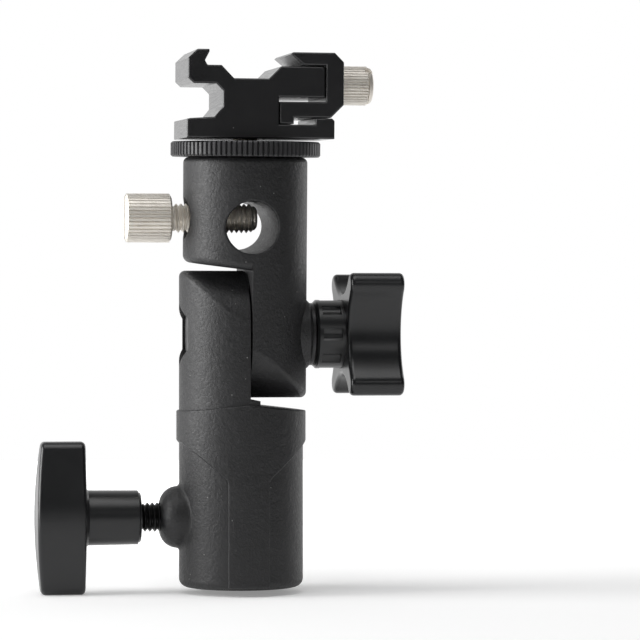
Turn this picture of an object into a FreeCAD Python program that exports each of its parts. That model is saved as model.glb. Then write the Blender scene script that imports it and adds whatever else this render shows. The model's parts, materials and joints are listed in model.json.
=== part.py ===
import FreeCAD, Part
import math
import os

import Sketcher
from FreeCAD import Placement, Rotation, Vector

# Umbrella swivel bracket: a stand socket with a T handle, a tilting head with an umbrella
# hole and its lock screw, and a clamping cold shoe on a 1/4 inch stud.
# Millimetres. Origin at the mouth of the stand socket, on its axis; +Z up, +X towards the
# star knob, -X towards the T handle. The umbrella shaft runs along Y. At rest the head and
# everything on it lean by head_tilt about the pivot bolt.

SIZES = {
    # lower casting
    "barrel_radius": 12.7,
    "socket_radius": 8.1,
    "socket_depth": 30.0,
    "barrel_rounding": 1.7,
    "socket_chamfer": 0.5,
    "band_radius": 13.25,
    "band_strip_half": 4.2,
    "band_strip_top": 22.2,
    "band_edge_low": 30.1,
    "band_corner_rounding": 2.0,
    "ledge_height": 37.4,
    "ledge_drop": 1.4,
    "root_step_width": 2.3,
    "root_step_height": 0.8,
    "casting_edge": 0.3,
    "boss_fillet": 0.8,
    "fork_face": 0.3,
    # pivot
    "pivot_height": 51.6,
    "end_radius": 13.0,
    "end_rounding": 1.2,
    "bolt_radius": 3.0,
    "bolt_hole_radius": 3.08,
    "bolt_seat": 7.0,
    "bolt_end": 26.4,
    "bolt_head_flats": 10.0,
    "bolt_head_height": 4.0,
    "hex_pocket_flats": 10.8,
    "washer_gap": 0.02,
    "friction_washer_radius": 9.5,
    # handle boss and stand lock
    "handle_height": 14.3,
    "boss_radius": 6.3,
    "boss_rounding": 3.7,
    "boss_end": 16.8,
    "boss_hole_radius": 3.1,
    "boss_insert_radius": 4.0,
    "boss_insert_inner": 10.3,
    "boss_insert_outer": 14.5,
    "pad_radius": 3.92,
    "pad_face": 8.5,
    "pad_back": 9.5,
    "thread_radius": 2.97,
    "thread_bore": 3.03,
    "thread_pitch": 1.0,
    "stud_outer": 30.0,
    "stud_plain_end": 19.6,
    # T handle
    "stem_end": 20.8,
    "stem_radius": 5.6,
    "plate_inner": 32.0,
    "plate_rim": 40.9,
    "plate_dome": 41.9,
    "plate_half_height": 15.5,
    "plate_half_width": 6.6,
    "plate_end_half": 2.6,
    "plate_side_half": 4.0,
    "plate_end_rounding": 2.0,
    "plate_side_rounding": 22.0,
    "plate_rim_rounding": 0.9,
    # swivel head
    "head_offset": 0.7,
    "head_tilt": 2.5,
    "head_radius": 12.7,
    "head_top": 87.8,
    "head_top_rounding": 1.2,
    "head_ledge": 64.9,
    "head_ledge_rise": 1.5,
    "head_ledge_rounding": 1.6,
    "pivot_boss_radius": 7.0,
    "pivot_boss_end": 13.3,
    "umbrella_hole_front": 5.35,
    "umbrella_hole_back": 4.9,
    "umbrella_hole_height": 73.6,
    "umbrella_hole_reach": 14.2,
    "umbrella_hole_rounding": 0.35,
    # umbrella lock screw
    "lock_screw_height": 75.3,
    "lock_head_outer": 24.7,
    "lock_head_inner": 15.3,
    "lock_head_radius": 5.0,
    "lock_neck_radius": 2.45,
    "lock_neck_end": 13.6,
    "lock_tip": 2.3,
    "lock_clear_end": 1.0,
    "lock_insert_radius": 4.25,
    "lock_insert_outer": 11.2,
    "lock_insert_inner": 6.0,
    "knurl_depth": 0.22,
    "knurl_count": 40,
    "driver_slot_width": 1.1,
    "driver_slot_depth": 1.8,
    # quarter inch stud
    "inch_thread_radius": 3.15,
    "inch_thread_bore": 3.2,
    "inch_pitch": 1.27,
    "stud_low": 80.5,
    "stud_high": 98.2,
    "stud_insert_radius": 5.0,
    "stud_insert_low": 80.3,
    # lock wheel
    "wheel_low": 87.85,
    "wheel_high": 90.95,
    "wheel_radius": 15.3,
    "wheel_tooth_depth": 0.45,
    "wheel_teeth": 90,
    "wheel_rounding": 0.35,
    # star knob
    "knob_washer_radius": 6.4,
    "knob_washer_inner": 14.05,
    "knob_washer_outer": 14.65,
    "hub_inner": 14.9,
    "hub_radius": 7.05,
    "hub_flute_radius": 1.75,
    "hub_flute_centre": 8.1,
    "hub_flutes": 8,
    "star_inner": 20.8,
    "star_outer": 31.9,
    "star_tip_centre": 10.1,
    "star_tip_radius": 2.35,
    "star_scallop_centre": 20.8,
    "star_rounding": 0.9,
    "knob_insert_radius": 4.6,
    "knob_insert_inner": 15.3,
    "knob_insert_outer": 25.0,
    "knob_bore_end": 28.6,
    # cold shoe
    "shoe_low": 91.45,
    "shoe_depth": 24.0,
    "base_left": 13.4,
    "base_right": 16.5,
    "base_edge": 3.8,
    "base_top": 4.15,
    "web_left": 6.15,
    "web_right": 5.2,
    "web_low": 6.3,
    "web_high": 9.5,
    "lip_under": 10.9,
    "lip_left": 13.2,
    "lip_top": 17.75,
    "lip_tip": 8.9,
    "groove_left": 9.8,
    "groove_floor": 14.6,
    "channel_floor": 12.0,
    "channel_left": 3.95,
    "channel_right": 3.1,
    "channel_slope": 2.5,
    "arm_top": 14.5,
    "arm_under": 8.3,
    "arm_end": 14.5,
    "recess_floor": 2.85,
    "recess_end": 12.6,
    "shoe_bore_top": 8.5,
    "shoe_chamfer": 0.25,
    # sliding jaw
    "jaw_outer": 18.35,
    "jaw_inner": 14.7,
    "jaw_top": 17.35,
    "jaw_tip": 7.5,
    "jaw_low": 4.25,
    "jaw_lower_arm_top": 7.45,
    "jaw_shoulder": 1.9,
    "jaw_key_end": 8.2,
    "jaw_key_low": 2.95,
    "jaw_upper_under": 14.75,
    "jaw_clamp_edge": 10.2,
    # shoe clamp screw
    "clamp_screw_height": 11.2,
    "clamp_screw_radius": 1.97,
    "clamp_screw_hole": 2.03,
    "clamp_screw_tip": 8.5,
    "clamp_head_inner": 18.4,
    "clamp_head_outer": 26.0,
    "clamp_head_radius": 4.0,
    "clamp_pitch": 0.7,
    "clamp_knurls": 34,
    "clamp_slot_lean": 40.0,
}

# a thread's depth and the two ends of its crest, as shares of the pitch
THREAD_DEPTH = 0.6
CREST_START = 0.44
CREST_END = 0.56

doc = FreeCAD.newDocument("umbrella_swivel_bracket")
sheet = doc.addObject("Spreadsheet::Sheet", "Sizes")
for row, (alias, number) in enumerate(SIZES.items(), start=1):
    sheet.set(f"A{row}", alias)
    sheet.set(f"B{row}", str(number))
    sheet.setAlias(f"B{row}", alias)
doc.recompute()


class Size:
    """A number together with the expression that keeps it tied to the sheet."""

    def __init__(self, value, text=None):
        self.value = float(value)
        self.text = text or repr(self.value)

    def __add__(self, other):
        other = as_size(other)
        return Size(self.value + other.value, f"({self.text} + {other.text})")

    def __sub__(self, other):
        other = as_size(other)
        return Size(self.value - other.value, f"({self.text} - {other.text})")

    def __mul__(self, other):
        other = as_size(other)
        return Size(self.value * other.value, f"({self.text} * {other.text})")

    def __neg__(self):
        return Size(-self.value, f"(-1 * {self.text})")


def as_size(number):
    return number if isinstance(number, Size) else Size(number)


def size(alias):
    return Size(sheet.get(alias), f"Sizes.{alias}")


def tie(target, path, number):
    """Bind one property of an object to the sheet."""
    target.setExpression(path, as_size(number).text)


# ---------------------------------------------------------------- building blocks


def new_body(label):
    body = doc.addObject("PartDesign::Body", label)
    body.Label = label
    return body


def place(body, x=0.0, z=0.0):
    tie(body, "Placement.Base.x", x)
    tie(body, "Placement.Base.z", z)


def place_on_head(body, x=0.0, z=0.0):
    """Place a piece of the head, which leans towards -Y about the pivot."""
    tilt = math.radians(SIZES["head_tilt"])
    above = as_size(z) - size("pivot_height")
    body.Placement = Placement(Vector(), Rotation(Vector(1, 0, 0), SIZES["head_tilt"]))
    tie(body, "Placement.Rotation.Angle", size("head_tilt"))
    tie(body, "Placement.Base.x", x)
    tie(body, "Placement.Base.y", above * -math.sin(tilt))
    tie(body, "Placement.Base.z", size("pivot_height") + above * math.cos(tilt))


def new_sketch(body, plane, offset=(0.0, 0.0, 0.0)):
    """A sketch on one of the body's own planes, its origin moved by offset in the sketch's axes."""
    sketch = body.newObject("Sketcher::SketchObject", body.Label + "_sketch")
    support = next(f for f in body.Origin.OriginFeatures if f.Role == plane)
    sketch.AttachmentSupport = [(support, "")]
    sketch.MapMode = "FlatFace"
    for axis, distance in zip("xyz", offset):
        tie(sketch, f"AttachmentOffset.Base.{axis}", distance)
    return sketch


def arc_between(start, end, radius):
    """Arc from start to end, to the left of the chord for a positive radius."""
    middle = (start + end) * 0.5
    chord = end - start
    rise = math.sqrt(max(radius * radius - chord.Length * chord.Length / 4.0, 0.0))
    left = Vector(-chord.y, chord.x, 0).normalize()
    side = 1.0 if radius > 0 else -1.0
    centre = middle - left * (side * rise)
    crown = centre + left * (side * abs(radius))
    return Part.Arc(start, crown, end)


def draw(sketch, corners):
    """Closed outline. A corner is (x, y), or (x, y, radius) where an arc leads to the next one."""
    points = [Vector(as_size(c[0]).value, as_size(c[1]).value, 0) for c in corners]
    for index, corner in enumerate(corners):
        start, end = points[index], points[(index + 1) % len(points)]
        if len(corner) == 3:
            sketch.addGeometry(arc_between(start, end, as_size(corner[2]).value))
        else:
            sketch.addGeometry(Part.LineSegment(start, end))
    tail, head = [], []
    for index, corner in enumerate(corners):
        # an arc drawn clockwise is stored the other way round
        clockwise = len(corner) == 3 and as_size(corner[2]).value > 0
        tail.append((index, 2 if clockwise else 1))
        head.append((index, 1 if clockwise else 2))
    for index, corner in enumerate(corners):
        following = (index + 1) % len(corners)
        sketch.addConstraint(Sketcher.Constraint("Coincident", *head[index], *tail[following]))
        for kind, part in (("DistanceX", 0), ("DistanceY", 1)):
            distance = as_size(corner[part])
            number = sketch.addConstraint(
                Sketcher.Constraint(kind, -1, 1, *tail[index], distance.value)
            )
            tie(sketch, f"Constraints[{number}]", distance)
        if len(corner) == 3:
            radius = as_size(corner[2])
            radius = radius if radius.value > 0 else -radius
            number = sketch.addConstraint(Sketcher.Constraint("Radius", index, radius.value))
            tie(sketch, f"Constraints[{number}]", radius)


def draw_circle(sketch, x, y, radius):
    x, y, radius = as_size(x), as_size(y), as_size(radius)
    circle = Part.Circle(Vector(x.value, y.value, 0), Vector(0, 0, 1), radius.value)
    index = sketch.addGeometry(circle)
    for kind, distance in (("DistanceX", x), ("DistanceY", y)):
        number = sketch.addConstraint(Sketcher.Constraint(kind, -1, 1, index, 3, distance.value))
        tie(sketch, f"Constraints[{number}]", distance)
    number = sketch.addConstraint(Sketcher.Constraint("Radius", index, radius.value))
    tie(sketch, f"Constraints[{number}]", radius)


def add_feature(body, kind, sketch, **settings):
    """Add one sketch based feature, and stop if it leaves the solid as it was."""
    before = body.Tip.Shape.Volume if body.Tip else 0.0
    feature = body.newObject("PartDesign::" + kind, f"{body.Label}_{kind}")
    feature.Profile = sketch
    for name, value in settings.items():
        if isinstance(value, Size):
            tie(feature, name, value)
        else:
            setattr(feature, name, value)
    sketch.Visibility = False
    doc.recompute()
    after = body.Tip.Shape.Volume
    if abs(after - before) < 1e-3:
        raise RuntimeError(f"{body.Label}: {kind} changes nothing")
    return feature


def spin(body, corners, axis, kind="Revolution", height=0.0, plane="XZ_Plane", **settings):
    """Turn an outline about the plane's level axis at a height ("H_Axis") or about Z ("V_Axis")."""
    sketch = new_sketch(body, plane, (0.0, height, 0.0))
    draw(sketch, corners)
    return add_feature(body, kind, sketch, ReferenceAxis=(sketch, [axis]), **settings)


def cut_through(body, corners, plane="XZ_Plane"):
    """Cut an outline right through the body, both ways from its plane."""
    sketch = new_sketch(body, plane)
    draw(sketch, corners)
    return add_feature(body, "Pocket", sketch, Type="ThroughAll", Midplane=True)


def dress(body, kind, amount, wanted):
    """Fillet or chamfer the edges that the test picks."""
    base = body.Tip
    names = [f"Edge{i}" for i, edge in enumerate(base.Shape.Edges, start=1) if wanted(edge)]
    if not names:
        raise RuntimeError(f"{body.Label}: no edges to {kind.lower()}")
    feature = body.newObject("PartDesign::" + kind, f"{body.Label}_{kind}")
    feature.Base = (base, names)
    tie(feature, "Radius" if kind == "Fillet" else "Size", amount)
    doc.recompute()
    return feature


def polar(body, feature, axis, count):
    """Repeat a feature round one of the body's own axes."""
    pattern = body.newObject("PartDesign::PolarPattern", body.Label + "_pattern")
    pattern.Originals = [feature]
    pattern.Axis = (next(f for f in body.Origin.OriginFeatures if f.Role == axis), [""])
    pattern.Angle = 360
    tie(pattern, "Occurrences", count)
    body.Tip = pattern
    doc.recompute()
    return pattern


def near(value, target, slack=0.02):
    return abs(value - target) < slack


def is_circle_at(edge, z=None, x=None, radius=None):
    """A whole or part circle with the given plane and radius."""
    curve = edge.Curve
    if not isinstance(curve, Part.Circle):
        return False
    fits_z = z is None or near(curve.Center.z, z)
    fits_x = x is None or near(curve.Center.x, x)
    return fits_z and fits_x and (radius is None or near(curve.Radius, radius))


def thread_outline(start, end, radius, pitch):
    """Crests and valleys from start to end along X, as rings at the thread's pitch."""
    depth = pitch * THREAD_DEPTH
    step = 1.0 if end.value > start.value else -1.0
    count = int(abs(end.value - start.value) / pitch.value)
    corners = [(start, radius - depth)]
    for turn in range(count):
        at = start + pitch * (step * turn)
        corners.append((at + pitch * (step * CREST_START), radius))
        corners.append((at + pitch * (step * CREST_END), radius))
        corners.append((at + pitch * step, radius - depth))
    corners.append((end, radius - depth))
    return corners


def ring(label, inner, outer, bore, radius, height=0.0, x=0.0, put=place):
    """A plain washer or bush along X."""
    body = new_body(label)
    put(body, x=x, z=height)
    spin(body, [(inner, bore), (outer, bore), (outer, radius), (inner, radius)], "H_Axis")
    return body


def knurl(body, edge_radius, depth, count, inner, outer, axis="X_Axis"):
    """Straight V flutes round a turned head, cut along its axis."""
    plane = "YZ_Plane" if axis == "X_Axis" else "XY_Plane"
    half = edge_radius * (math.pi / count.value * 0.5)
    low = edge_radius - depth
    sketch = new_sketch(body, plane, (0.0, 0.0, inner))
    outside = edge_radius + depth
    draw(sketch, [(low, 0.0), (outside, half * 2.0), (outside, -half * 2.0)])
    flute = add_feature(body, "Pocket", sketch, Length=outer - inner, Reversed=True)
    return polar(body, flute, axis, count)


def hexagon(flats):
    """Six corners, one at the top, for a size across flats."""
    reach = flats * (1.0 / math.sqrt(3.0))
    angles = [math.radians(90.0 + 60.0 * k) for k in range(6)]
    return [(reach * math.cos(a), reach * math.sin(a)) for a in angles]


def driver_slot(body, face, radius, lean, **settings):
    """Screwdriver slot across the outer face of a turned head, leaning from upright."""
    half, reach = size("driver_slot_width") * 0.5, radius * 1.5
    cos, sin = math.cos(math.radians(lean.value)), math.sin(math.radians(lean.value))
    sketch = new_sketch(body, "YZ_Plane", (0.0, 0.0, face))
    outline = [(half, -reach), (half, reach), (-half, reach), (-half, -reach)]
    draw(sketch, [(y * cos - z * sin, y * sin + z * cos) for y, z in outline])
    return add_feature(body, "Pocket", sketch, Length=size("driver_slot_depth"), **settings)


nodes = []

# ---------------------------------------------------------------- lower casting


def ledge_at(x):
    """Height of the roof shaped ledge at a distance from the axis."""
    drop = size("ledge_drop") * (1.0 / SIZES["band_radius"])
    return size("ledge_height") - drop * x


def make_band():
    """Raised band round the barrel with a funnel shaped foot down its front and back."""
    band = new_body("band_form")
    sunk = size("barrel_radius") - 0.6
    outer, top = size("band_radius"), size("ledge_height")
    spin(band, [(sunk, 0.6), (outer, 0.6), (outer, top), (sunk, top)], "V_Axis")
    strip, corner = size("band_strip_half"), size("band_strip_top")
    beyond = outer + 1.0
    for side in (1.0, -1.0):
        cut_through(
            band,
            [
                (strip * side, 0.0),
                (strip * side, corner),
                (outer * side, size("band_edge_low")),
                (beyond * side, size("band_edge_low")),
                (beyond * side, 0.0),
            ],
        )
        cut_through(
            band,
            [
                (0.0, top),
                (beyond * side, ledge_at(beyond)),
                (beyond * side, top + 1.0),
                (0.0, top + 1.0),
            ],
        )
    dress(
        band,
        "Fillet",
        size("band_corner_rounding"),
        lambda e: near(e.CenterOfMass.z, corner.value) and near(abs(e.CenterOfMass.x), strip.value),
    )
    return band


def make_lower_body():
    body = new_body("lower_body")
    radius, bore, depth = size("barrel_radius"), size("socket_radius"), size("socket_depth")
    pivot, end = size("pivot_height"), size("end_radius")
    top = pivot + end + 1.0
    face, ledge = size("fork_face"), size("ledge_height")
    spin(
        body,
        [(bore, 0.0), (radius, 0.0), (radius, top), (0.0, top), (0.0, depth), (bore, depth)],
        "V_Axis",
    )
    # the head's side of the fork, with the small step at the tongue's root
    step, rise = size("root_step_width"), size("root_step_height")
    beyond = radius + 1.5
    cut_through(
        body,
        [
            (face, ledge + rise),
            (step, ledge + rise),
            (step, ledge_at(step)),
            (beyond, ledge_at(beyond)),
            (beyond, top + 1.0),
            (face, top + 1.0),
        ],
    )
    # the fork ends in a half round about the pivot
    spin(
        body,
        [(-beyond, end), (beyond, end), (beyond, end + 8.0), (-beyond, end + 8.0)],
        "H_Axis",
        kind="Groove",
        height=pivot,
        Angle=180.0,
        Midplane=True,
    )
    dress(
        body,
        "Fillet",
        size("end_rounding"),
        lambda e: e.Length > 40.0 and near(e.BoundBox.ZMax, (pivot + end).value),
    )
    dress(
        body,
        "Fillet",
        size("barrel_rounding"),
        lambda e: is_circle_at(e, z=0.0, radius=radius.value),
    )
    dress(
        body,
        "Chamfer",
        size("socket_chamfer"),
        lambda e: is_circle_at(e, z=0.0, radius=bore.value),
    )
    return body


def join(body, other):
    """Fuse another body into this one."""
    boolean = body.newObject("PartDesign::Boolean", body.Label + "_join")
    boolean.setObjects([other])
    boolean.Type = "Fuse"
    body.Tip = boolean
    doc.recompute()


def finish_lower_body(body):
    """Boss, bores and the hexagonal pocket, cut after the band is on."""
    pivot, handle = size("pivot_height"), size("handle_height")
    boss, hole = size("boss_radius"), size("boss_hole_radius")
    end, rounding = size("boss_end"), size("boss_rounding")
    spin(
        body,
        [
            (-size("barrel_radius") + 3.5, 0.0),
            (-size("barrel_radius") + 3.5, boss),
            (-(end - rounding), boss, -rounding),
            (-end, boss - rounding),
            (-end, 0.0),
        ],
        "H_Axis",
        height=handle,
    )
    insert = size("boss_insert_radius")
    # the pad's bore starts well inside the socket's round wall
    socket = size("socket_radius") - 1.4
    spin(
        body,
        [
            (-socket, 0.0),
            (-socket, insert),
            (-size("boss_insert_outer"), insert),
            (-size("boss_insert_outer"), hole),
            (-(end + 1.0), hole),
            (-(end + 1.0), 0.0),
        ],
        "H_Axis",
        kind="Groove",
        height=handle,
    )
    bolt = size("bolt_hole_radius")
    outside = size("barrel_radius") + 1.0
    spin(
        body,
        [(-outside, 0.0), (outside, 0.0), (outside, bolt), (-outside, bolt)],
        "H_Axis",
        kind="Groove",
        height=pivot,
    )
    sketch = new_sketch(body, "YZ_Plane", (0.0, pivot, -size("bolt_seat")))
    draw(sketch, hexagon(size("hex_pocket_flats")))
    add_feature(body, "Pocket", sketch, Type="ThroughAll")
    barrel, band = size("barrel_radius"), size("band_radius")
    dress(
        body,
        "Fillet",
        size("boss_fillet"),
        lambda e: near(e.BoundBox.ZLength, boss.value * 2.0, 0.1)
        and near(e.BoundBox.XMin, -barrel.value, 0.1),
    )
    # the band's own edges stand out to its full radius
    dress(
        body,
        "Fillet",
        size("casting_edge"),
        lambda e: e.Length > 0.9
        and all(near(math.hypot(v.X, v.Y), band.value) for v in e.Vertexes)
        and near(math.hypot(*e.valueAt(sum(e.ParameterRange) / 2.0)[:2]), band.value)
        and not near(e.CenterOfMass.x, band.value),
    )


lower_body = make_lower_body()
join(lower_body, make_band())
finish_lower_body(lower_body)
nodes.append(lower_body)

# ---------------------------------------------------------------- swivel head


def make_swivel_head():
    """Upper casting, drawn about its own axis and set over by the width of the split."""
    body = new_body("swivel_head")
    place_on_head(body, x=size("head_offset"))
    radius, top = size("head_radius"), size("head_top")
    pivot, end = size("pivot_height"), size("end_radius")
    low, ledge = pivot - end - 1.0, size("head_ledge")
    beyond = radius + 1.5
    spin(body, [(0.0, low), (radius, low), (radius, top), (0.0, top)], "V_Axis")
    cut_through(
        body,
        [
            (0.0, low - 1.0),
            (0.0, ledge),
            (-radius, ledge + size("head_ledge_rise")),
            (-beyond, ledge + size("head_ledge_rise")),
            (-beyond, low - 1.0),
        ],
    )
    # the tongue ends in a half round about the pivot
    spin(
        body,
        [(-beyond, -end), (beyond, -end), (beyond, -end - 8.0), (-beyond, -end - 8.0)],
        "H_Axis",
        kind="Groove",
        height=pivot,
        Angle=180.0,
        Midplane=True,
    )
    dress(
        body,
        "Fillet",
        size("head_top_rounding"),
        lambda e: is_circle_at(e, z=top.value, radius=radius.value),
    )
    boss, boss_end = size("pivot_boss_radius"), size("pivot_boss_end")
    spin(
        body,
        [
            (radius - 4.0, 0.0),
            (radius - 4.0, boss),
            (boss_end - 0.5, boss),
            (boss_end, boss - 0.5),
            (boss_end, 0.0),
        ],
        "H_Axis",
        height=pivot,
    )
    bolt = size("bolt_hole_radius")
    spin(
        body,
        [(-1.0, 0.0), (beyond + 1.0, 0.0), (beyond + 1.0, bolt), (-1.0, bolt)],
        "H_Axis",
        kind="Groove",
        height=pivot,
    )
    # umbrella hole, right through from front to back, with the draft of its core
    front, back = size("umbrella_hole_front"), size("umbrella_hole_back")
    reach = size("umbrella_hole_reach")
    spin(
        body,
        [(-reach, 0.0), (reach, 0.0), (reach, back), (-reach, front)],
        "H_Axis",
        kind="Groove",
        height=size("umbrella_hole_height"),
        plane="YZ_Plane",
    )
    # lock screw: open recess, seat of the bush, clearance hole into the umbrella hole
    recess = size("lock_insert_radius")
    inner = size("lock_insert_inner")
    spin(
        body,
        [
            (-beyond, 0.0),
            (-beyond, recess),
            (-inner, recess),
            (-inner, size("boss_hole_radius")),
            (-size("lock_clear_end"), size("boss_hole_radius")),
            (-size("lock_clear_end"), 0.0),
        ],
        "H_Axis",
        kind="Groove",
        height=size("lock_screw_height"),
    )
    # rounded outer corners: ledge, tongue end, umbrella hole and screw recess
    ledge_top = ledge + size("head_ledge_rise")
    dress(
        body,
        "Fillet",
        size("head_ledge_rounding"),
        lambda e: near(e.BoundBox.ZMin, ledge.value) and near(e.BoundBox.ZMax, ledge_top.value),
    )
    dress(
        body,
        "Fillet",
        size("end_rounding"),
        lambda e: near(e.BoundBox.ZMin, (pivot - end).value)
        and near(e.BoundBox.XMax, radius.value),
    )
    dress(
        body,
        "Fillet",
        size("umbrella_hole_rounding"),
        lambda e: back.value * 2.0 - 0.1 < e.BoundBox.XLength < front.value * 2.0 + 0.1
        and e.BoundBox.YLength < 2.0,
    )
    dress(
        body,
        "Fillet",
        size("casting_edge"),
        lambda e: near(e.BoundBox.YLength, recess.value * 2.0, 0.05)
        and e.BoundBox.XMax < -recess.value * 2.5,
    )
    # seat of the stud's bush in the top
    seat, seat_low = size("stud_insert_radius"), size("stud_insert_low")
    spin(
        body,
        [(0.0, seat_low), (seat, seat_low), (seat, top + 1.0), (0.0, top + 1.0)],
        "V_Axis",
        kind="Groove",
    )
    return body


swivel_head = make_swivel_head()
nodes.append(swivel_head)

# ---------------------------------------------------------------- umbrella lock screw


def make_lock_screw():
    body = new_body("umbrella_lock_screw")
    place_on_head(body, x=size("head_offset"), z=size("lock_screw_height"))
    outer, inner = size("lock_head_outer"), size("lock_head_inner")
    head, tip = size("lock_head_radius"), size("lock_tip")
    thread = thread_outline(
        -size("lock_neck_end"), tip - 0.6, size("thread_radius"), size("thread_pitch")
    )
    spin(
        body,
        [
            (-outer, 0.0),
            (-outer, head - 0.55),
            (-(outer - 0.35), head - 0.2),
            (-(outer - 1.0), head - 0.2),
            (-(outer - 1.0), head),
            (-(inner + 0.55), head),
            (-inner, head - 0.55),
            (-inner, size("lock_neck_radius")),
        ]
        + thread
        + [(tip, size("thread_radius") - 1.1), (tip, 0.0)],
        "H_Axis",
    )
    knurl(body, head, size("knurl_depth"), size("knurl_count"), -(outer - 1.0), -inner)
    driver_slot(body, -outer, head, as_size(0.0), Reversed=True)
    return body


nodes.append(make_lock_screw())

lock_insert = ring(
    "umbrella_screw_insert",
    -size("lock_insert_outer"),
    -size("lock_insert_inner") - 0.02,
    size("thread_bore"),
    size("lock_insert_radius") - 0.02,
    height=size("lock_screw_height"),
    x=size("head_offset"),
    put=place_on_head,
)
nodes.append(lock_insert)

# ---------------------------------------------------------------- pivot


def make_pivot_bolt():
    body = new_body("pivot_bolt")
    place(body, z=size("pivot_height"))
    seat, height = size("bolt_seat"), size("bolt_head_height")
    shank, end = size("bolt_radius"), size("bolt_end")
    sketch = new_sketch(body, "YZ_Plane", (0.0, 0.0, -(seat + height)))
    draw(sketch, hexagon(size("bolt_head_flats")))
    add_feature(body, "Pad", sketch, Length=height)
    shank_outline = [
        (-seat, 0.0),
        (-seat, shank),
        (end - 0.6, shank),
        (end, shank - 0.6),
        (end, 0.0),
    ]
    spin(body, shank_outline, "H_Axis")
    # the head's corners are turned off at 30 degrees
    reach = size("bolt_head_flats") * (1.0 / math.sqrt(3.0))
    flat = size("bolt_head_flats") * 0.48
    outer = -(seat + height)
    spin(
        body,
        [
            (outer, flat),
            (outer + (reach - flat) * 0.577, reach),
            (outer, reach + 1.0),
            (outer - 1.0, reach + 1.0),
            (outer - 1.0, flat),
        ],
        "H_Axis",
        kind="Groove",
    )
    return body


nodes.append(make_pivot_bolt())

friction_washer = ring(
    "pivot_friction_washer",
    size("fork_face") + size("washer_gap"),
    size("head_offset") - size("washer_gap"),
    size("bolt_hole_radius"),
    size("friction_washer_radius"),
    height=size("pivot_height"),
)
nodes.append(friction_washer)

knob_washer = ring(
    "knob_washer",
    size("knob_washer_inner"),
    size("knob_washer_outer"),
    size("bolt_hole_radius"),
    size("knob_washer_radius"),
    height=size("pivot_height"),
)
nodes.append(knob_washer)

# ---------------------------------------------------------------- star knob


def draw_star(sketch):
    """Four lobes on the diagonals, joined by scallops that run tangent into them."""
    tip_at, tip = size("star_tip_centre"), size("star_tip_radius")
    reach = size("star_scallop_centre")
    scallop = math.hypot(reach.value - tip_at.value, tip_at.value) - tip.value
    to_tip = math.atan2(tip_at.value, reach.value - tip_at.value)
    for quarter in range(4):
        turn = math.radians(90.0 * quarter)
        away = Vector(math.cos(turn), math.sin(turn), 0)
        centre = away * reach.value
        start, end = turn + math.pi - to_tip, turn + math.pi + to_tip
        circle = Part.Circle(centre, Vector(0, 0, 1), scallop)
        sketch.addGeometry(Part.ArcOfCircle(circle, start, end))
    for quarter in range(4):
        turn = math.radians(90.0 * quarter)
        diagonal = turn + math.radians(45.0)
        centre = Vector(math.cos(diagonal), math.sin(diagonal), 0) * (tip_at.value * math.sqrt(2.0))
        # the lobe's arc runs between its two tangent points
        start, end = turn - to_tip, turn + math.pi / 2.0 + to_tip
        circle = Part.Circle(centre, Vector(0, 0, 1), tip.value)
        sketch.addGeometry(Part.ArcOfCircle(circle, start, end))
    for quarter in range(4):
        lobe, following = 4 + quarter, (quarter + 1) % 4
        # a scallop ends, anticlockwise about its own centre, where the lobe before it lies
        sketch.addConstraint(Sketcher.Constraint("Tangent", lobe, 1, quarter, 1))
        sketch.addConstraint(Sketcher.Constraint("Tangent", lobe, 2, following, 2))
        signs = ((1, 1), (-1, 1), (-1, -1), (1, -1))[quarter]
        for kind, sign in zip(("DistanceX", "DistanceY"), signs):
            distance = tip_at * sign
            number = sketch.addConstraint(
                Sketcher.Constraint(kind, -1, 1, lobe, 3, distance.value)
            )
            tie(sketch, f"Constraints[{number}]", distance)
        number = sketch.addConstraint(Sketcher.Constraint("Radius", lobe, tip.value))
        tie(sketch, f"Constraints[{number}]", tip)
    for quarter, (kind, sign) in enumerate(
        (("DistanceX", 1), ("DistanceY", 1), ("DistanceX", -1), ("DistanceY", -1))
    ):
        distance = reach * sign
        number = sketch.addConstraint(
            Sketcher.Constraint(kind, -1, 1, quarter, 3, distance.value)
        )
        tie(sketch, f"Constraints[{number}]", distance)


def make_star_knob():
    body = new_body("star_knob")
    place(body, z=size("pivot_height"))
    inner, outer = size("star_inner"), size("star_outer")
    sketch = new_sketch(body, "YZ_Plane", (0.0, 0.0, inner))
    draw_star(sketch)
    add_feature(body, "Pad", sketch, Length=outer - inner)
    dress(
        body,
        "Fillet",
        size("star_rounding"),
        lambda e: near(e.CenterOfMass.x, outer.value) or near(e.CenterOfMass.x, inner.value),
    )
    hub, hub_inner = size("hub_radius"), size("hub_inner")
    spin(
        body,
        [
            (hub_inner, 0.0),
            (hub_inner, hub - 0.5),
            (hub_inner + 0.5, hub),
            (inner + 1.0, hub),
            (inner + 1.0, 0.0),
        ],
        "H_Axis",
    )
    sketch = new_sketch(body, "YZ_Plane", (0.0, 0.0, hub_inner + 1.2))
    draw_circle(sketch, size("hub_flute_centre"), 0.0, size("hub_flute_radius"))
    flute = add_feature(
        body, "Pocket", sketch, Length=inner - hub_inner - 2.0, Reversed=True
    )
    polar(body, flute, "X_Axis", size("hub_flutes"))
    insert, bore_end = size("knob_insert_radius"), size("knob_bore_end")
    insert_outer, free = size("knob_insert_outer"), size("bolt_hole_radius") + 0.3
    spin(
        body,
        [
            (hub_inner - 1.0, 0.0),
            (hub_inner - 1.0, insert),
            (insert_outer, insert),
            (insert_outer, free),
            (bore_end, free),
            (bore_end, 0.0),
        ],
        "H_Axis",
        kind="Groove",
    )
    return body


nodes.append(make_star_knob())

knob_insert = ring(
    "star_knob_insert",
    size("knob_insert_inner"),
    size("knob_insert_outer") - 0.02,
    size("bolt_radius") + 0.04,
    size("knob_insert_radius") - 0.02,
    height=size("pivot_height"),
)
nodes.append(knob_insert)

# ---------------------------------------------------------------- stand lock


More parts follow.
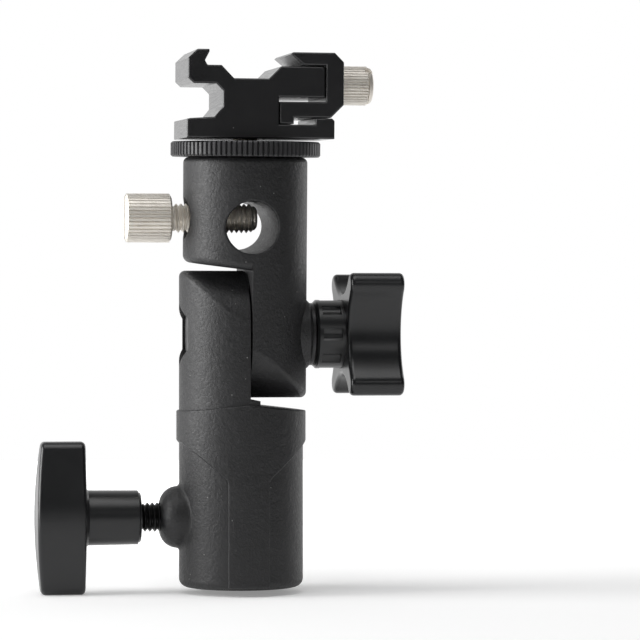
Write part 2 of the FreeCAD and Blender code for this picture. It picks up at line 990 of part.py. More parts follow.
def make_handle_knob():
    """Upright lozenge plate with a domed outer face and a round stem."""
    body = new_body("handle_knob")
    place(body, z=size("handle_height"))
    rim, plate = size("plate_rim"), size("plate_inner")
    tall, wide = size("plate_half_height"), size("plate_half_width")
    end, side = size("plate_end_half"), size("plate_side_half")
    dome = size("plate_dome")
    sketch = new_sketch(body, "YZ_Plane", (0.0, 0.0, -plate))
    draw(
        sketch,
        [
            (end, tall),
            (-end, tall),
            (-wide, side),
            (-wide, -side),
            (-end, -tall),
            (end, -tall),
            (wide, -side),
            (wide, side),
        ],
    )
    add_feature(body, "Pad", sketch, Length=dome - plate, Reversed=True)
    dress(
        body,
        "Fillet",
        size("plate_end_rounding"),
        lambda e: near(e.BoundBox.XLength, (dome - plate).value)
        and near(abs(e.CenterOfMass.z), tall.value),
    )
    dress(
        body,
        "Fillet",
        size("plate_side_rounding"),
        lambda e: near(e.BoundBox.XLength, (dome - plate).value)
        and near(abs(e.CenterOfMass.z), side.value),
    )
    # domed outer face: a long arc from end to end
    rise = dome.value - rim.value
    arc = (tall.value ** 2 + rise ** 2) / (2.0 * rise)
    cut_through(
        body,
        [
            (-rim, -tall, arc),
            (-rim, tall),
            (-rim, tall + 2.0),
            (-(dome + 1.0), tall + 2.0),
            (-(dome + 1.0), -(tall + 2.0)),
            (-rim, -(tall + 2.0)),
        ],
    )
    dress(
        body,
        "Fillet",
        size("plate_rim_rounding"),
        lambda e: e.BoundBox.XMax < -rim.value + 0.3 or near(e.BoundBox.XMin, -plate.value),
    )
    stem, stem_end = size("stem_radius"), size("stem_end")
    spin(
        body,
        [
            (-(plate + 1.0), 0.0),
            (-(plate + 1.0), stem + 0.6),
            (-plate, stem + 0.6),
            (-(plate - 0.6), stem),
            (-(stem_end + 0.5), stem - 0.1, -0.5),
            (-stem_end, stem - 0.6),
            (-stem_end, 0.0),
        ],
        "H_Axis",
    )
    stud, deep = size("thread_radius") + 0.03, size("stud_outer") + 0.2
    spin(
        body,
        [(-deep, 0.0), (-(stem_end - 1.0), 0.0), (-(stem_end - 1.0), stud), (-deep, stud)],
        "H_Axis",
        kind="Groove",
    )
    return body


nodes.append(make_handle_knob())


def make_handle_stud():
    body = new_body("handle_stud")
    place(body, z=size("handle_height"))
    outer, tip, plain = size("stud_outer"), size("pad_back"), size("stud_plain_end")
    radius = size("thread_radius")
    thread = thread_outline(-plain, -(tip + 0.8), radius, size("thread_pitch"))
    spin(
        body,
        [(-outer, 0.0), (-outer, radius), (-(plain + 0.3), radius)]
        + thread
        + [(-tip, radius - 1.0), (-tip, 0.0)],
        "H_Axis",
    )
    return body


nodes.append(make_handle_stud())

boss_insert = ring(
    "handle_boss_insert",
    -size("boss_insert_outer") + 0.02,
    -size("boss_insert_inner"),
    size("thread_bore"),
    size("boss_insert_radius") - 0.02,
    height=size("handle_height"),
)
nodes.append(boss_insert)

clamp_pad = new_body("clamp_pad")
place(clamp_pad, z=size("handle_height"))
spin(
    clamp_pad,
    [
        (-size("pad_back") + 0.02, 0.0),
        (-size("pad_back") + 0.02, size("pad_radius")),
        (-size("pad_face") - 0.3, size("pad_radius")),
        (-size("pad_face"), size("pad_radius") - 0.3),
        (-size("pad_face"), 0.0),
    ],
    "H_Axis",
)
nodes.append(clamp_pad)

# ---------------------------------------------------------------- stud and lock wheel


def make_mounting_stud():
    """Quarter inch stud on the head's axis."""
    body = new_body("mounting_stud")
    place_on_head(body, x=size("head_offset"))
    low, high = size("stud_low"), size("stud_high")
    radius = size("inch_thread_radius")
    thread = thread_outline(low + 0.6, high - 0.6, radius, size("inch_pitch"))
    upright = [(r, z) for z, r in thread]
    spin(
        body,
        [(0.0, low), (radius - 1.2, low)] + upright + [(radius - 1.2, high), (0.0, high)],
        "V_Axis",
    )
    return body


nodes.append(make_mounting_stud())


def upright_ring(label, low, high, bore, radius):
    body = new_body(label)
    place_on_head(body, x=size("head_offset"))
    spin(body, [(bore, low), (radius, low), (radius, high), (bore, high)], "V_Axis")
    return body


stud_insert = upright_ring(
    "stud_insert",
    size("stud_insert_low") + 0.02,
    size("head_top") - 0.2,
    size("inch_thread_bore"),
    size("stud_insert_radius") - 0.02,
)
nodes.append(stud_insert)


def make_lock_wheel():
    body = upright_ring(
        "lock_wheel",
        size("wheel_low"),
        size("wheel_high"),
        size("inch_thread_bore"),
        size("wheel_radius"),
    )
    dress(
        body,
        "Chamfer",
        size("wheel_rounding"),
        lambda e: is_circle_at(e, radius=size("wheel_radius").value),
    )
    knurl(
        body,
        size("wheel_radius"),
        size("wheel_tooth_depth"),
        size("wheel_teeth"),
        size("wheel_low"),
        size("wheel_high"),
        axis="Z_Axis",
    )
    return body


nodes.append(make_lock_wheel())

# ---------------------------------------------------------------- cold shoe


def pad_profile(label, corners):
    """A shoe piece: one outline drawn from the front, as deep as the shoe."""
    body = new_body(label)
    place_on_head(body, x=size("head_offset"), z=size("shoe_low"))
    sketch = new_sketch(body, "XZ_Plane")
    draw(sketch, corners)
    add_feature(body, "Pad", sketch, Length=size("shoe_depth"), Midplane=True)
    half = size("shoe_depth").value / 2.0
    dress(
        body,
        "Chamfer",
        size("shoe_chamfer"),
        lambda e: near(abs(e.CenterOfMass.y), half),
    )
    return body


def make_shoe_body():
    left, right = size("base_left"), size("base_right")
    edge, top = size("base_edge"), size("base_top")
    web, web_right = size("web_left"), size("web_right")
    under, lip, lip_top = size("lip_under"), size("lip_left"), size("lip_top")
    floor, slope = size("channel_floor"), size("channel_slope")
    groove, tip = size("groove_floor"), size("lip_tip")
    arm, arm_under, arm_end = size("arm_top"), size("arm_under"), size("arm_end")
    recess, recess_end = size("recess_floor"), size("recess_end")
    body = pad_profile(
        "shoe_body",
        [
            (-left, 0.0),
            (-left, edge),
            (-(left - 0.7), top - 0.2),
            (-(web + 1.7), top + 0.1),
            (-web, size("web_low")),
            (-web, size("web_high")),
            (-(web + 1.4), under),
            (-(lip - 1.1), under),
            (-lip, under + 1.0),
            (-lip, lip_top - 1.8),
            (-(lip - 1.9), lip_top),
            (-tip, lip_top),
            (-tip, lip_top - 0.5),
            (-size("groove_left"), groove + 0.9),
            (-(size("groove_left") - 0.5), groove),
            (-(size("channel_left") + slope), groove),
            (-size("channel_left"), floor),
            (size("channel_right"), floor),
            (size("channel_right") + slope, arm),
            (arm_end - 0.4, arm),
            (arm_end, arm - 0.4),
            (arm_end, arm_under),
            (web_right, arm_under),
            (web_right, recess),
            (recess_end, recess),
            (recess_end, top),
            (right - 0.5, top),
            (right, top - 0.5),
            (right, 0.0),
        ],
    )
    bore, bore_top = size("inch_thread_bore"), size("shoe_bore_top")
    spin(
        body,
        [(0.0, -1.0), (bore, -1.0), (bore, bore_top), (0.0, bore_top)],
        "V_Axis",
        kind="Groove",
    )
    hole, tip_end = size("clamp_screw_hole"), size("clamp_screw_tip") - 1.0
    spin(
        body,
        [(tip_end, 0.0), (arm_end + 1.0, 0.0), (arm_end + 1.0, hole), (tip_end, hole)],
        "H_Axis",
        kind="Groove",
        height=size("clamp_screw_height"),
    )
    return body


nodes.append(make_shoe_body())


def make_shoe_jaw():
    outer, inner = size("jaw_outer"), size("jaw_inner")
    top, tip, low = size("jaw_top"), size("jaw_tip"), size("jaw_low")
    arm, shoulder = size("jaw_lower_arm_top"), size("jaw_shoulder")
    key, key_low = size("jaw_key_end"), size("jaw_key_low")
    under = size("jaw_upper_under")
    web = size("web_right") + 0.15
    body = pad_profile(
        "shoe_jaw",
        [
            (tip, top - 0.4),
            (tip + 0.5, top),
            (outer - shoulder, top),
            (outer, top - shoulder),
            (outer, low + 2.6),
            (outer - 2.6, low),
            (key, low),
            (key, key_low),
            (web, key_low),
            (web, arm),
            (inner, arm),
            (inner, under),
            (size("jaw_clamp_edge"), under),
        ],
    )
    hole = size("clamp_screw_hole") + 0.05
    spin(
        body,
        [(inner - 1.0, 0.0), (outer + 1.0, 0.0), (outer + 1.0, hole), (inner - 1.0, hole)],
        "H_Axis",
        kind="Groove",
        height=size("clamp_screw_height"),
    )
    return body


nodes.append(make_shoe_jaw())


def make_shoe_screw():
    body = new_body("shoe_clamp_screw")
    place_on_head(body, x=size("head_offset"), z=size("shoe_low") + size("clamp_screw_height"))
    inner, outer = size("clamp_head_inner"), size("clamp_head_outer")
    head, tip = size("clamp_head_radius"), size("clamp_screw_tip")
    shank = size("clamp_screw_radius")
    thread = thread_outline(tip + 0.5, inner - 0.8, shank, size("clamp_pitch"))
    spin(
        body,
        [(tip, 0.0), (tip, shank - 0.7)]
        + thread
        + [
            (inner, shank - 0.42),
            (inner, head - 0.3),
            (inner + 0.3, head),
            (outer - 1.0, head, 1.0),
            (outer, head - 1.0),
            (outer, 0.0),
        ],
        "H_Axis",
    )
    knurl(body, head, size("knurl_depth"), size("clamp_knurls"), inner, outer)
    driver_slot(body, outer, head, size("clamp_slot_lean"))
    return body


nodes.append(make_shoe_screw())

# ---------------------------------------------------------------- checks and files


def check():
    doc.recompute()
    for item in doc.Objects:
        if "Invalid" in item.State or "Error" in item.State:
            raise RuntimeError(f"{item.Name} did not build: {item.State}")
    for node in nodes:
        shape = node.Shape
        if shape.isNull() or not shape.isValid() or len(shape.Solids) != 1:
            raise RuntimeError(f"{node.Label} is not one valid solid")


check()
os.makedirs("parts", exist_ok=True)
for node in nodes:
    node.Shape.exportStep(f"parts/{node.Label}.step")
    box = node.Shape.BoundBox
    print(
        f"{node.Label:24s} volume {node.Shape.Volume:9.1f}"
        f"  x {box.XMin:6.1f} {box.XMax:6.1f}"
        f"  y {box.YMin:6.1f} {box.YMax:6.1f}"
        f"  z {box.ZMin:6.1f} {box.ZMax:6.1f}"
    )
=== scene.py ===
import json
import math

import bmesh
import bpy
from mathutils import Matrix, Vector


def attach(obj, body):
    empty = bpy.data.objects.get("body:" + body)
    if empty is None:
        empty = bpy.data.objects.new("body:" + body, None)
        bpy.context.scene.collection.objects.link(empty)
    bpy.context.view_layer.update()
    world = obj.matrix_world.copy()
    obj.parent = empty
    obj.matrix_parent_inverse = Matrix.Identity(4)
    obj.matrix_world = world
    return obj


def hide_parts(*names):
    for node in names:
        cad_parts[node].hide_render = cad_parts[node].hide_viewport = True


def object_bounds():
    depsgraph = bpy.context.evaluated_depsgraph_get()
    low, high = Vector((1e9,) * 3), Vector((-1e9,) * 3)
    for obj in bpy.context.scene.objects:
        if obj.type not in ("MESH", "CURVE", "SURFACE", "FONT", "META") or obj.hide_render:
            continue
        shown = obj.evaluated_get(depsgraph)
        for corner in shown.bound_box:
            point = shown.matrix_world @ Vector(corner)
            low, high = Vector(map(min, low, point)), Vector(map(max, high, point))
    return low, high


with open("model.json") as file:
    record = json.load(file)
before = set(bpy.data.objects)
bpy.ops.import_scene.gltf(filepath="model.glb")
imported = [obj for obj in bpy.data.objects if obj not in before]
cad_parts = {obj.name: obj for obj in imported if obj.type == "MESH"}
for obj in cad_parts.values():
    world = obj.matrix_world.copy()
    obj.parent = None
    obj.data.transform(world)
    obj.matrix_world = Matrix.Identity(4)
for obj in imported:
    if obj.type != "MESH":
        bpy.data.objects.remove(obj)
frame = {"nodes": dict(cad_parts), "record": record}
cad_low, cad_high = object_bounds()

# Umbrella swivel bracket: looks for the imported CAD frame. Metres, in the CAD's own frame.
MM = 0.001

# What the camera sees: the object from its front left, level with the middle of its height.
CAMERA_AZIMUTH = math.radians(-9.2)
CAMERA_ELEVATION = math.radians(0.0)
CAMERA_DISTANCE = 585 * MM
VIEW_WIDTH = 131.2 * MM
AIM_RIGHT = 16.2 * MM
AIM_HEIGHT = 54.5 * MM
FLOOR_RADIUS = 0.55
# painted light: strength of the floor's own glow at its front edge
FLOOR_GLOW = 0.25

# light that falls in from the side of the camera and from behind the object
WORLD_FRONT = 0.012
WORLD_BACK = 1.0
LIT_POINT = (0.0, 0.0, 55 * MM)
SENSOR_WIDTH = 36.0
BROKEN_EDGE = 0.12 * MM

# ---------------------------------------------------------------- material building blocks


class Nodes:
    """The node tree of one material, with its Principled shader and object coordinates."""

    def __init__(self, name):
        self.material = bpy.data.materials.new(name)
        self.material.use_nodes = True
        self.tree = self.material.node_tree
        self.shader = self.tree.nodes["Principled BSDF"]
        self.coordinates = self.add("ShaderNodeTexCoord").outputs["Object"]

    def add(self, kind, **settings):
        node = self.tree.nodes.new(kind)
        for name, value in settings.items():
            setattr(node, name, value)
        return node

    def link(self, source, target):
        self.tree.links.new(source, target)

    def fixed(self, **values):
        """Set sockets of the shader that are the same all over the surface."""
        for name, value in values.items():
            self.shader.inputs[name.replace("_", " ")].default_value = value

    def stretched(self, x, y, z):
        """Object coordinates drawn out along an axis, for marks with a direction."""
        mapping = self.add("ShaderNodeMapping")
        mapping.inputs["Scale"].default_value = (x, y, z)
        self.link(self.coordinates, mapping.inputs["Vector"])
        return mapping.outputs["Vector"]

    def noise(self, feature, detail=2.0, rough=0.5, vector=None):
        """Noise whose lumps are about one feature across, in metres."""
        node = self.add("ShaderNodeTexNoise")
        node.inputs["Scale"].default_value = 0.5 / feature
        node.inputs["Detail"].default_value = detail
        node.inputs["Roughness"].default_value = rough
        self.link(vector or self.coordinates, node.inputs["Vector"])
        return node.outputs["Fac"]

    def remap(self, value, low, high, to_low, to_high):
        node = self.add("ShaderNodeMapRange")
        node.inputs["From Min"].default_value = low
        node.inputs["From Max"].default_value = high
        node.inputs["To Min"].default_value = to_low
        node.inputs["To Max"].default_value = to_high
        self.link(value, node.inputs["Value"])
        return node.outputs["Result"]

    def multiply(self, first, second):
        node = self.add("ShaderNodeMath", operation="MULTIPLY")
        self.link(first, node.inputs[0])
        self.link(second, node.inputs[1])
        return node.outputs["Value"]

    def mix(self, share, first, second):
        """Colour between two; either one is a colour or a socket."""
        node = self.add("ShaderNodeMix", data_type="RGBA")
        self.link(share, node.inputs["Factor"])
        for socket, colour in ((node.inputs[6], first), (node.inputs[7], second)):
            if isinstance(colour, tuple):
                socket.default_value = (*colour, 1.0)
            else:
                self.link(colour, socket)
        return node.outputs[2]

    def specks(self, spacing, radius, share):
        """Small round spots, at most one to a cell, on that share of the cells."""
        cells = self.add("ShaderNodeTexVoronoi")
        cells.inputs["Scale"].default_value = 1.0 / spacing
        cells.inputs["Randomness"].default_value = 1.0
        self.link(self.coordinates, cells.inputs["Vector"])
        edge = radius / spacing
        inside = self.remap(cells.outputs["Distance"], edge, edge * 0.4, 0.0, 1.0)
        parts = self.add("ShaderNodeSeparateColor")
        self.link(cells.outputs["Color"], parts.inputs["Color"])
        chosen = self.remap(parts.outputs["Red"], 1.0 - share, 1.0 - share + 0.02, 0.0, 1.0)
        return self.multiply(inside, chosen)

    def bump(self, height, depth, under=None):
        node = self.add("ShaderNodeBump")
        node.inputs["Distance"].default_value = depth
        self.link(height, node.inputs["Height"])
        if under is not None:
            self.link(under, node.inputs["Normal"])
        return node.outputs["Normal"]

    def finish(self, colour=None, roughness=None, normal=None):
        wanted = (("Base Color", colour), ("Roughness", roughness), ("Normal", normal))
        for name, socket in wanted:
            if socket is not None:
                self.link(socket, self.shader.inputs[name])
        return self.material


# ---------------------------------------------------------------- materials


def powder_coat():
    """Matte black coat with a fine grain, a little dust and a few faint rubs."""
    n = Nodes("casting_powder_coat")
    patches = n.noise(9 * MM, detail=3.0)
    grain = n.noise(0.3 * MM, detail=3.0, rough=0.6)
    tone = n.mix(n.remap(patches, 0.35, 0.65, 0.0, 1.0), (0.012, 0.012, 0.0128), (0.017, 0.017, 0.018))
    tone = n.mix(n.remap(grain, 0.55, 0.75, 0.0, 0.5), tone, (0.05, 0.05, 0.052))
    rubs = n.noise(1.6 * MM, detail=4.0, rough=0.65, vector=n.stretched(1.0, 1.0, 0.12))
    tone = n.mix(n.remap(rubs, 0.66, 0.74, 0.0, 0.35), tone, (0.075, 0.075, 0.076))
    tone = n.mix(n.specks(2.6 * MM, 0.15 * MM, 0.4), tone, (0.28, 0.28, 0.27))
    roughness = n.remap(grain, 0.3, 0.7, 0.42, 0.6)
    normal = n.bump(grain, 0.13 * MM)
    normal = n.bump(n.noise(0.9 * MM, detail=0.0), 0.06 * MM, under=normal)
    return n.finish(tone, roughness, normal)


def anodised_aluminium(name, light, dark, rough_low, rough_high):
    """Machined aluminium, anodised satin black, with fine tool lines along the cut."""
    n = Nodes(name)
    patches = n.noise(6 * MM, detail=2.0)
    tone = n.mix(n.remap(patches, 0.3, 0.7, 0.0, 1.0), dark, light)
    tone = n.mix(n.specks(3.2 * MM, 0.13 * MM, 0.3), tone, (0.22, 0.22, 0.22))
    lines = n.noise(0.12 * MM, detail=1.0, vector=n.stretched(1.0, 0.03, 1.0))
    roughness = n.remap(lines, 0.3, 0.7, rough_low, rough_high)
    normal = n.bump(lines, 0.0004 * MM)
    normal = n.bump(n.noise(0.2 * MM, detail=2.0), 0.0015 * MM, under=normal)
    return n.finish(tone, roughness, normal)


def moulded_plastic():
    """Smooth satin black plastic with the faint unevenness of a moulding."""
    n = Nodes("moulded_black_plastic")
    patches = n.noise(7 * MM, detail=2.0)
    tone = n.mix(n.remap(patches, 0.3, 0.7, 0.0, 1.0), (0.009, 0.0093, 0.0102), (0.013, 0.0134, 0.0144))
    tone = n.mix(n.specks(4.2 * MM, 0.1 * MM, 0.35), tone, (0.22, 0.22, 0.22))
    texture = n.noise(0.22 * MM, detail=2.0)
    roughness = n.remap(patches, 0.3, 0.7, 0.27, 0.35)
    normal = n.bump(texture, 0.006 * MM)
    normal = n.bump(n.noise(5 * MM, detail=1.0), 0.05 * MM, under=normal)
    return n.finish(tone, roughness, normal)


def plated_metal(name, light, dark, rough_low, rough_high):
    """Turned and plated metal: fine machining marks and a slightly uneven shine."""
    n = Nodes(name)
    marks = n.noise(0.08 * MM, detail=2.0)
    clouds = n.noise(1.5 * MM, detail=3.0)
    tone = n.mix(n.remap(clouds, 0.35, 0.7, 0.0, 1.0), light, dark)
    roughness = n.remap(clouds, 0.3, 0.7, rough_low, rough_high)
    normal = n.bump(marks, 0.002 * MM)
    n.fixed(Metallic=1.0)
    return n.finish(tone, roughness, normal)


def pressed_fibre():
    """Dark washer stock with short fibres."""
    n = Nodes("pressed_fibre")
    fibres = n.noise(0.1 * MM, detail=4.0, vector=n.stretched(1.0, 0.15, 1.0))
    tone = n.mix(n.remap(fibres, 0.35, 0.65, 0.0, 1.0), (0.05, 0.047, 0.043), (0.12, 0.115, 0.105))
    n.fixed(Roughness=0.85)
    return n.finish(tone, normal=n.bump(fibres, 0.02 * MM))


MATERIALS = {
    "casting": powder_coat(),
    "anodised": anodised_aluminium(
        "anodised_black", (0.024, 0.024, 0.025), (0.019, 0.019, 0.02), 0.2, 0.26
    ),
    "anodised_matte": anodised_aluminium(
        "anodised_matte", (0.034, 0.034, 0.036), (0.027, 0.027, 0.029), 0.42, 0.5
    ),
    "knob_plastic": moulded_plastic(),
    "nickel": plated_metal("nickel_plate", (0.86, 0.825, 0.765), (0.80, 0.76, 0.70), 0.52, 0.62),
    "black_steel": plated_metal("blackened_steel", (0.06, 0.06, 0.061), (0.035, 0.035, 0.036), 0.34, 0.5),
    "brass_bush": plated_metal("turned_brass", (0.72, 0.56, 0.3), (0.6, 0.45, 0.22), 0.22, 0.36),
    "fibre": pressed_fibre(),
}
SLOT_OF = {part["node"]: part["material_slot"] for part in frame["record"]["subparts"]}
BODY_OF = {
    node: body
    for body, members in frame["record"]["behaviour"]["bodies"].items()
    for node in members
}


def paint(obj, slot_name):
    obj.data.materials.clear()
    obj.data.materials.append(MATERIALS[slot_name])


for node_name, node in frame["nodes"].items():
    paint(node, SLOT_OF[node_name])
# the knurled wheel is finished more softly than the shoe
paint(frame["nodes"]["lock_wheel"], "anodised_matte")

# ---------------------------------------------------------------- screws with real threads

PIVOT_HEIGHT = 51.6 * MM
HEAD_TILT = math.radians(2.5)
HEAD_OFFSET = 0.7 * MM
HANDLE_HEIGHT = 14.3 * MM
LOCK_SCREW_HEIGHT = 75.3 * MM
CLAMP_SCREW_HEIGHT = 102.65 * MM
SEGMENTS = 160
STEPS_PER_PITCH = 10
THREAD_DEPTH = 0.6
FLANK = 0.44
SLOT_WIDTH = 1.1 * MM
SLOT_DEPTH = 1.8 * MM
M6_RADIUS = 2.97 * MM
M6_PITCH = 1.0 * MM
KNURL_TEETH = 40
SCREW_CREASE = 28.0


def upright_at(height):
    """Place of a piece on the lower casting."""
    return Matrix.Translation((0.0, 0.0, height))


def on_head_at(height):
    """Place of a piece on the head, which leans towards -Y about the pivot."""
    pivot = Matrix.Translation((0.0, 0.0, PIVOT_HEIGHT))
    lean = Matrix.Rotation(HEAD_TILT, 4, "X")
    return pivot @ lean @ Matrix.Translation((HEAD_OFFSET, 0.0, height - PIVOT_HEIGHT))


def plain(*corners):
    """Stations of a smooth turned outline; a corner is (place, radius)."""
    return [(place, lambda angle, radius=radius: radius) for place, radius in corners]


def threaded(start, end, radius, pitch):
    """Stations of a right hand thread that runs out into its root at both ends."""
    depth = pitch * THREAD_DEPTH
    count = int(abs(end - start) / pitch * STEPS_PER_PITCH)
    stations = []
    for step in range(count + 1):
        place = start + (end - start) * step / count
        whole = min(1.0, step / STEPS_PER_PITCH, (count - step) / STEPS_PER_PITCH)

        def radius_at(angle, place=place, whole=whole):
            phase = (place / pitch - angle / math.tau) % 1.0
            ridge = min(1.0, (0.5 - abs(phase - 0.5)) / FLANK)
            return radius - depth * (1.0 - ridge * whole)

        stations.append((place, radius_at))
    return stations


def knurled(start, end, radius, teeth, depth, edge):
    """Stations of a straight knurl, flat ridges between V grooves, with both its ends turned down."""
    steps = SEGMENTS // teeth

    def radius_at(angle):
        in_groove = round(angle / math.tau * SEGMENTS) % steps == 0
        return radius - depth if in_groove else radius

    inward = math.copysign(edge, end - start)
    root = radius - depth
    stations = plain((start, root - edge))
    stations += [(start + inward, radius_at), (end - inward, radius_at)]
    return stations + plain((end, root - edge))


def turned(name, stations, place):
    """Closed solid turned about X from its stations, in order along the axis."""
    if stations[0][0] > stations[-1][0]:
        stations = stations[::-1]
    mesh = bpy.data.meshes.new(name)
    shell = bmesh.new()
    rings = []
    for along, radius_at in stations:
        ring = []
        for step in range(SEGMENTS):
            angle = math.tau * step / SEGMENTS
            radius = radius_at(angle)
            ring.append(shell.verts.new((along, radius * math.cos(angle), radius * math.sin(angle))))
        rings.append(ring)
    for near, far in zip(rings, rings[1:]):
        for step in range(SEGMENTS):
            following = (step + 1) % SEGMENTS
            shell.faces.new((near[step], near[following], far[following], far[step]))
    shell.faces.new(rings[0][::-1])
    shell.faces.new(rings[-1])
    bmesh.ops.recalc_face_normals(shell, faces=shell.faces)
    shell.to_mesh(mesh)
    shell.free()
    obj = bpy.data.objects.new(name, mesh)
    bpy.context.scene.collection.objects.link(obj)
    obj.matrix_world = place
    return obj


def apply_modifiers(obj):
    evaluated = obj.evaluated_get(bpy.context.evaluated_depsgraph_get())
    mesh = bpy.data.meshes.new_from_object(evaluated)
    obj.modifiers.clear()
    obj.data = mesh


def crease(obj, degrees):
    """Smooth shading with sharp edges past an angle."""
    obj.data.shade_smooth()
    obj.data.set_sharp_from_angle(angle=math.radians(degrees))


def cut_slot(screw, face, radius, lean, side):
    """Screwdriver slot across a turned head's outer face, side being +1 or -1 along X."""
    blade = bmesh.new()
    bmesh.ops.create_cube(blade, size=1.0)
    mesh = bpy.data.meshes.new("slot_blade")
    blade.to_mesh(mesh)
    blade.free()
    cutter = bpy.data.objects.new("slot_blade", mesh)
    bpy.context.scene.collection.objects.link(cutter)
    sunk = Matrix.Translation((face + side * 0.5 * MM - side * SLOT_DEPTH / 2.0, 0.0, 0.0))
    size = Matrix.Diagonal((SLOT_DEPTH + 1.0 * MM, SLOT_WIDTH, 3.0 * radius, 1.0))
    cutter.matrix_world = screw.matrix_world @ sunk @ Matrix.Rotation(lean, 4, "X") @ size
    cut = screw.modifiers.new("slot", "BOOLEAN")
    cut.operation = "DIFFERENCE"
    cut.solver = "EXACT"
    cut.object = cutter
    apply_modifiers(screw)
    bpy.data.objects.remove(cutter)


def stands_for(obj, node_name):
    """Give a piece the material and the body of a CAD node, and hide that node."""
    paint(obj, SLOT_OF[node_name])
    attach(obj, BODY_OF[node_name])
    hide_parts(node_name)


def make_lock_screw():
    """Slotted and knurled thumb screw that holds the umbrella's shaft."""
    head_face, head_back, head = -24.7 * MM, -15.3 * MM, 5.0 * MM
    stations = knurled(head_face, head_back, head, KNURL_TEETH, 0.26 * MM, 0.4 * MM)
    stations += plain((head_back + 0.01 * MM, 2.37 * MM))
    stations += threaded(head_back + 0.1 * MM, 1.9 * MM, M6_RADIUS, M6_PITCH)
    stations += plain((2.3 * MM, 1.9 * MM))
    screw = turned("lock_screw_visual", stations, on_head_at(LOCK_SCREW_HEIGHT))
    cut_slot(screw, head_face, head, 0.0, -1.0)
    crease(screw, SCREW_CREASE)
    stands_for(screw, "umbrella_lock_screw")


def make_clamp_screw():
    """Small domed and knurled thumb screw that pulls the shoe's jaw in."""
    head_back, head_face, head = 18.4 * MM, 26.0 * MM, 4.0 * MM
    stations = plain((8.5 * MM, 1.3 * MM)) + threaded(8.6 * MM, 17.7 * MM, 1.97 * MM, 0.7 * MM)
    stations += plain((head_back - 0.01 * MM, 1.55 * MM))
    stations += knurled(head_back, head_face - 0.95 * MM, head, KNURL_TEETH, 0.2 * MM, 0.25 * MM)
    for degrees in range(0, 91, 15):
        turn = math.radians(degrees)
        along = head_face - 0.9 * MM + 0.9 * MM * math.sin(turn)
        stations += plain((along, head - 1.2 * MM + 0.95 * MM * math.cos(turn)))
    screw = turned("clamp_screw_visual", stations, on_head_at(CLAMP_SCREW_HEIGHT))
    cut_slot(screw, head_face, head, math.radians(40.0), 1.0)
    crease(screw, SCREW_CREASE)
    stands_for(screw, "shoe_clamp_screw")


def make_handle_stud():
    """Stud between the T handle and its pad."""
    stations = plain((-30.0 * MM, M6_RADIUS), (-20.9 * MM, M6_RADIUS))
    stations += threaded(-20.8 * MM, -10.0 * MM, M6_RADIUS, M6_PITCH)
    stations += plain((-9.5 * MM, 1.97 * MM))
    stud = turned("handle_stud_visual", stations, upright_at(HANDLE_HEIGHT))
    crease(stud, SCREW_CREASE)
    stands_for(stud, "handle_stud")


make_lock_screw()
make_clamp_screw()
make_handle_stud()

# ---------------------------------------------------------------- machined pieces with broken edges


def soften(node_name, width):
    """A copy of a CAD node's mesh with its sharp edges bevelled, in place of the node."""
    node = frame["nodes"][node_name]
    mesh = node.data.copy()
    mesh.attributes.remove(mesh.attributes["custom_normal"])
    work = bmesh.new()
    work.from_mesh(mesh)
    bmesh.ops.remove_doubles(work, verts=work.verts, dist=0.001 * MM)
    bmesh.ops.dissolve_limit(
        work, angle_limit=math.radians(0.5), verts=work.verts, edges=work.edges
    )
    work.to_mesh(mesh)
    work.free()
    obj = bpy.data.objects.new(node_name + "_visual", mesh)
    bpy.context.scene.collection.objects.link(obj)
    obj.matrix_world = node.matrix_world
    bevel = obj.modifiers.new("broken edges", "BEVEL")
    bevel.width = width
    bevel.segments = 2
    bevel.limit_method = "ANGLE"
    bevel.angle_limit = math.radians(30.0)
    # the large faces stay flat, and the shading turns on the bevels alone
    obj.modifiers.new("flat faces", "WEIGHTED_NORMAL")
    mesh.shade_smooth()
    apply_modifiers(obj)
    stands_for(obj, node_name)


for shoe_piece in ("shoe_body", "shoe_jaw"):
    soften(shoe_piece, BROKEN_EDGE)

# ---------------------------------------------------------------- lights, floor and camera


def look_at(obj, place, target):
    obj.location = place
    obj.rotation_euler = (Vector(target) - Vector(place)).to_track_quat("-Z", "Y").to_euler()


def softbox(name, place, target, width, height, watts):
    light = bpy.data.lights.new(name, "AREA")
    light.shape = "RECTANGLE"
    light.size, light.size_y = width, height
    light.energy = watts
    obj = bpy.data.objects.new(name, light)
    bpy.context.scene.collection.objects.link(obj)
    look_at(obj, place, target)


def make_world():
    """Pale all round; brightest behind the object, dimmer on the camera's side."""
    world = bpy.data.worlds.new("studio")
    bpy.context.scene.world = world
    world.use_nodes = True
    tree = world.node_tree
    background = tree.nodes["Background"]
    background.inputs["Color"].default_value = (1.0, 1.0, 1.0, 1.0)
    shown = tree.nodes.new("ShaderNodeBackground")
    shown.inputs["Color"].default_value = (1.0, 1.0, 1.0, 1.0)
    coordinates = tree.nodes.new("ShaderNodeTexCoord")
    parts = tree.nodes.new("ShaderNodeSeparateXYZ")
    fade = tree.nodes.new("ShaderNodeMapRange")
    fade.inputs["From Min"].default_value = 0.2
    fade.inputs["From Max"].default_value = 0.95
    fade.inputs["To Min"].default_value = WORLD_FRONT
    fade.inputs["To Max"].default_value = WORLD_BACK
    path = tree.nodes.new("ShaderNodeLightPath")
    choose = tree.nodes.new("ShaderNodeMixShader")
    tree.links.new(coordinates.outputs["Generated"], parts.inputs["Vector"])
    tree.links.new(parts.outputs["Y"], fade.inputs["Value"])
    tree.links.new(fade.outputs["Result"], background.inputs["Strength"])
    tree.links.new(path.outputs["Is Camera Ray"], choose.inputs["Fac"])
    tree.links.new(background.outputs["Background"], choose.inputs[1])
    tree.links.new(shown.outputs["Background"], choose.inputs[2])
    tree.links.new(choose.outputs["Shader"], tree.nodes["World Output"].inputs["Surface"])


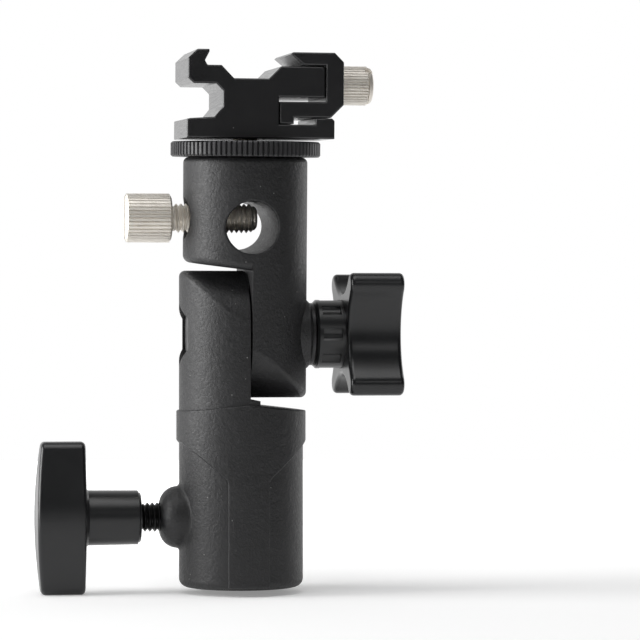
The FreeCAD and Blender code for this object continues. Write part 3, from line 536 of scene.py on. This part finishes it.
def make_floor(height):
    """A pale floor just under the lowest point of the object; it glows with painted light, brighter to
    the back.
    """
    bpy.ops.mesh.primitive_circle_add(
        vertices=96, radius=FLOOR_RADIUS, fill_type="NGON", location=(0, 0, height)
    )
    floor = bpy.context.object
    floor.name = "floor"
    n = Nodes("pale_floor")
    tone = n.mix(n.noise(60 * MM, detail=2.0), (0.86, 0.86, 0.86), (0.88, 0.88, 0.88))
    n.fixed(Roughness=0.9, Specular_IOR_Level=0.0, Emission_Color=(1.0, 1.0, 1.0, 1.0))
    # painted light: the floor glows, brighter to the back, so that the floor's far edge melts into the
    # white behind it
    place = n.add("ShaderNodeSeparateXYZ")
    n.link(n.coordinates, place.inputs["Vector"])
    painted_glow = n.remap(place.outputs["Y"], 0.0, FLOOR_RADIUS * 0.8, FLOOR_GLOW, 1.0)
    n.link(painted_glow, n.shader.inputs["Emission Strength"])
    floor.data.materials.append(n.finish(tone))


def make_camera():
    camera = bpy.data.objects.new("camera", bpy.data.cameras.new("camera"))
    bpy.context.scene.collection.objects.link(camera)
    camera.data.sensor_width = SENSOR_WIDTH
    camera.data.lens = SENSOR_WIDTH * CAMERA_DISTANCE / VIEW_WIDTH
    camera.data.clip_start = 0.05
    camera.data.clip_end = 20.0
    azimuth, elevation = CAMERA_AZIMUTH, CAMERA_ELEVATION
    towards = Vector(
        (
            math.sin(azimuth) * math.cos(elevation),
            -math.cos(azimuth) * math.cos(elevation),
            math.sin(elevation),
        )
    )
    right = Vector((math.cos(azimuth), math.sin(azimuth), 0.0))
    aim = right * AIM_RIGHT + Vector((0, 0, AIM_HEIGHT))
    look_at(camera, aim + towards * CAMERA_DISTANCE, aim)
    bpy.context.scene.camera = camera


make_world()
make_floor(cad_low[2])
softbox("key_left", (-0.75, 0.0, 0.15), LIT_POINT, 0.45, 0.7, 9.0)
softbox("top", (-0.10, -0.20, 0.80), LIT_POINT, 0.6, 0.6, 3.0)
softbox("rim_right", (0.65, 0.45, 0.25), LIT_POINT, 0.25, 0.6, 1.0)
softbox("front_small", (0.25, -0.85, 0.42), LIT_POINT, 0.12, 0.12, 0.25)
make_camera()
bpy.context.scene.view_settings.view_transform = "Standard"
